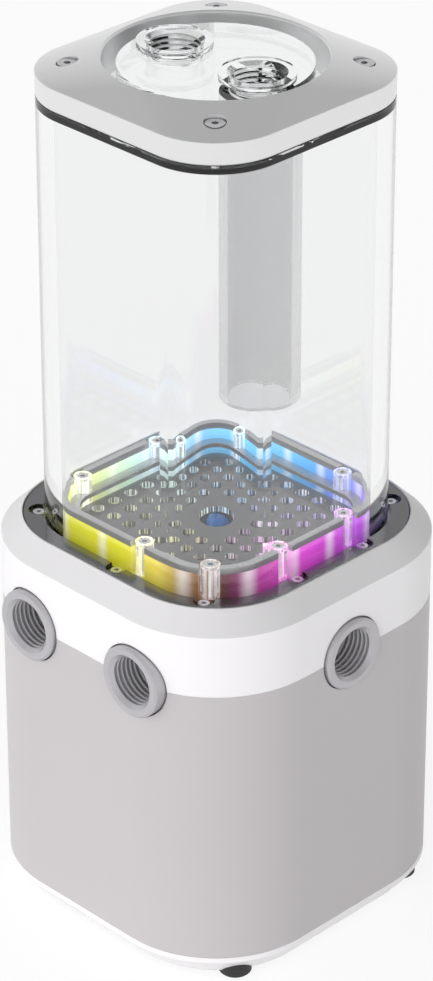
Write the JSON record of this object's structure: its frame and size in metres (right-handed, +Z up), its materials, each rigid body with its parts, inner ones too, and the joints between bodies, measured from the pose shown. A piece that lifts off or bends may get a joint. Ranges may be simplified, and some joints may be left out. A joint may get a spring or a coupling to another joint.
{
  "type": "coolant pump reservoir",
  "caption": "Square clear coolant reservoir on a square pump housing, with threaded side ports, threaded top ports, a lit flow plate and a magnetically driven impeller inside.",
  "frame": {"origin": "centre of the square housing, on the surface that the feet stand on", "axes": "+Z up; -Y is the face with two ports; +X is the face with one port"},
  "size_m": [0.0913, 0.0925, 0.22],
  "materials": {
    "rubber_black": "matt black rubber",
    "housing_white": "satin white, lacquered",
    "housing_grey": "satin light grey, lacquered",
    "block_grey": "machined white acetal",
    "port_metal": "satin grey, turned",
    "dark_chrome": "dark chrome, polished",
    "fence_metal": "satin stainless steel strip",
    "screw_steel": "plain stainless steel",
    "screw_dark": "black oxide",
    "clear_tube": "clear acrylic, polished",
    "clear_frame": "clear acrylic, lit from below",
    "clear_top": "clear acrylic, machined",
    "smoke_plate": "grey acrylic, glossy",
    "cap_metal": "satin light grey, lacquered",
    "board_white": "white solder mask",
    "lamp": "lamp package",
    "can_black": "matt black moulding",
    "stator_steel": "stacked steel sheets",
    "copper_wire": "lacquered copper wire",
    "board_green": "green solder mask",
    "cup_steel": "deep drawn stainless steel",
    "ceramic": "polished ceramic",
    "impeller_blue": "blue moulding",
    "magnet_grey": "ferrite magnet",
    "clamp_metal": "plain casting"
  },
  "bodies": {
    "reservoir": {"rubber_feet": "rubber_black", "base_plate": "housing_white", "tie_screws": "screw_dark", "lower_shell": "housing_grey", "cable_grommet": "rubber_black", "collar_band": "housing_white", "pump_block": "block_grey", "left_port": "port_metal", "front_port": "port_metal", "right_port": "port_metal", "port_seals": "rubber_black", "seat_ring": "dark_chrome", "ring_screws": "screw_steel", "reservoir_tube": "clear_tube", "tube_seal": "rubber_black", "light_board": "board_white", "lamps": "lamp", "light_fence": "clear_frame", "fence_pillars": "clear_top", "rim_bar": "fence_metal", "inner_rail": "fence_metal", "flow_plate": "smoke_plate", "fence_screws": "screw_steel", "top_plate": "clear_top", "cap_gasket": "rubber_black", "cap_ring": "cap_metal", "cap_screws": "screw_steel", "return_tube": "clear_top", "pump_can": "can_black", "can_cover": "can_black", "stator_core": "stator_steel", "stator_windings": "copper_wire", "driver_board": "board_green", "separating_cup": "cup_steel", "bearing_post": "cup_steel", "bearing_ball": "ceramic", "pump_seal": "rubber_black", "clamp_ring": "clamp_metal", "clamp_screws": "screw_dark"},
    "rotor": {"impeller": "impeller_blue", "rotor_magnet": "magnet_grey"}
  },
  "joints": [
    {"name": "impeller_spin", "type": "hinge", "parent": "reservoir", "child": "rotor", "pos_m": [0, 0, 0.0792], "axis": [0, 0, 1], "continuous": true}
  ]
}
